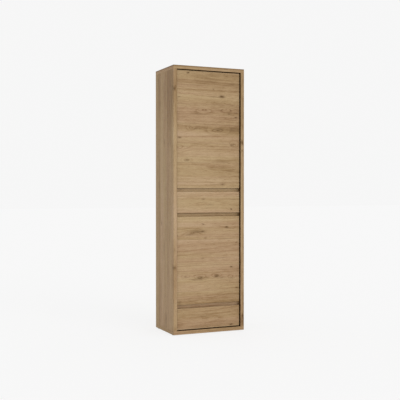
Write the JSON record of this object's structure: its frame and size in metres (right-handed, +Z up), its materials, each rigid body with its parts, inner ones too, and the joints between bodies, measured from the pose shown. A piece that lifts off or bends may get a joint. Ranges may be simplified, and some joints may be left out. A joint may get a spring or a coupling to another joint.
{
  "type": "tall narrow cabinet",
  "caption": "Tall narrow oak-effect bathroom cabinet: inset doors and drawers in a board frame, opened by finger grooves, with shelves, hinges and roller runners inside.",
  "frame": {"origin": "on the floor, under the middle of the cabinet", "axes": "+Z up, +X to the right seen from the front, +Y from the front to the back"},
  "size_m": [0.464, 0.3, 1.6],
  "materials": {
    "oak_board": "oak-effect decor on board, satin, grain along the board",
    "oak_front": "oak-effect decor on board, satin, grain across the front",
    "oak_inside": "oak-effect decor on board, satin",
    "back_sheet": "thin fibreboard, printed decor inside, raw brown outside",
    "dark_trim": "dark brown, matt",
    "white_plastic": "moulded plastic, fine texture",
    "nylon": "natural nylon",
    "soft_dot": "clear soft polymer",
    "beech": "raw fluted beech",
    "zinc": "zinc plated",
    "nickel": "nickel plated, pressed steel",
    "runner_enamel": "baked enamel on rolled steel",
    "drawer_foil": "foil-wrapped board, pale linen grey",
    "drawer_sheet": "painted thin fibreboard"
  },
  "bodies": {
    "carcass": {"left_side_panel": "oak_board", "right_side_panel": "oak_board", "bottom_panel": "oak_board", "top_panel": "oak_board", "lower_fixed_shelf": "oak_inside", "middle_fixed_shelf": "oak_inside", "upper_fixed_shelf": "oak_inside", "lower_grip_rail": "oak_board", "middle_grip_rail": "oak_board", "upper_grip_rail": "oak_board", "wall_fixing_rail": "oak_inside", "lower_back_panel": "back_sheet", "upper_back_panel": "back_sheet", "back_joint_strip": "white_plastic", "back_nails": "zinc", "shadow_gap_trim": "dark_trim", "bumper_pads": "soft_dot", "wood_dowels": "beech", "cam_locks": "zinc", "cam_bolts": "zinc", "floor_glides": "white_plastic", "upper_shelf_low": "oak_inside", "upper_shelf_high": "oak_inside", "lower_shelf": "oak_inside", "shelf_pins": "zinc", "hinge_plates": "nickel", "hinge_arms": "nickel", "magnet_catches": "white_plastic", "cabinet_runners": "runner_enamel", "hardware_screws": "zinc"},
    "upper_door": {"upper_door_panel": "oak_front", "upper_hinge_cups": "nickel", "upper_hinge_pins": "nickel", "upper_door_screws": "zinc", "upper_strike_plate": "nickel"},
    "lower_door": {"lower_door_panel": "oak_front", "lower_hinge_cups": "nickel", "lower_hinge_pins": "nickel", "lower_door_screws": "zinc", "lower_strike_plate": "nickel"},
    "upper_drawer": {"upper_drawer_front": "oak_front", "upper_drawer_inner_front": "drawer_foil", "upper_drawer_left_side": "drawer_foil", "upper_drawer_right_side": "drawer_foil", "upper_drawer_back": "drawer_foil", "upper_drawer_bottom": "drawer_sheet", "upper_drawer_screws": "zinc", "upper_drawer_runners": "runner_enamel"},
    "upper_front_roller_pair": {"upper_front_rollers": "nylon"},
    "upper_rear_roller_pair": {"upper_rear_rollers": "nylon"},
    "lower_drawer": {"lower_drawer_front": "oak_front", "lower_drawer_inner_front": "drawer_foil", "lower_drawer_left_side": "drawer_foil", "lower_drawer_right_side": "drawer_foil", "lower_drawer_back": "drawer_foil", "lower_drawer_bottom": "drawer_sheet", "lower_drawer_screws": "zinc", "lower_drawer_runners": "runner_enamel"},
    "lower_front_roller_pair": {"lower_front_rollers": "nylon"},
    "lower_rear_roller_pair": {"lower_rear_rollers": "nylon"}
  },
  "joints": [
    {"name": "upper_door_hinge", "type": "hinge", "parent": "carcass", "child": "upper_door", "pos_m": [0.19448, -0.1305, 0], "axis": [0, 0, 1], "range_deg": [0, 105]},
    {"name": "upper_drawer_slide", "type": "slide", "parent": "carcass", "child": "upper_drawer", "axis": [0, -1, 0], "range_m": [0, 0.17]},
    {"name": "upper_front_roller_spin", "type": "hinge", "parent": "carcass", "child": "upper_front_roller_pair", "pos_m": [0, -0.1035, 0.75325], "axis": [1, 0, 0], "range_deg": [-3, 1085]},
    {"name": "upper_rear_roller_spin", "type": "hinge", "parent": "upper_drawer", "child": "upper_rear_roller_pair", "pos_m": [0, 0.106, 0.7528], "axis": [1, 0, 0], "range_deg": [-3, 1085]},
    {"name": "lower_door_hinge", "type": "hinge", "parent": "carcass", "child": "lower_door", "pos_m": [0.19448, -0.1305, 0], "axis": [0, 0, 1], "range_deg": [0, 105]},
    {"name": "lower_drawer_slide", "type": "slide", "parent": "carcass", "child": "lower_drawer", "axis": [0, -1, 0], "range_m": [0, 0.17]},
    {"name": "lower_front_roller_spin", "type": "hinge", "parent": "carcass", "child": "lower_front_roller_pair", "pos_m": [0, -0.1035, 0.05825], "axis": [1, 0, 0], "range_deg": [-3, 1085]},
    {"name": "lower_rear_roller_spin", "type": "hinge", "parent": "lower_drawer", "child": "lower_rear_roller_pair", "pos_m": [0, 0.106, 0.0578], "axis": [1, 0, 0], "range_deg": [-3, 1085]}
  ],
  "couplings": [
    {"joint": "upper_front_roller_spin", "follows": "upper_drawer_slide", "rad_per_m": 111.11},
    {"joint": "upper_rear_roller_spin", "follows": "upper_drawer_slide", "rad_per_m": 111.11},
    {"joint": "lower_front_roller_spin", "follows": "lower_drawer_slide", "rad_per_m": 111.11},
    {"joint": "lower_rear_roller_spin", "follows": "lower_drawer_slide", "rad_per_m": 111.11}
  ]
}
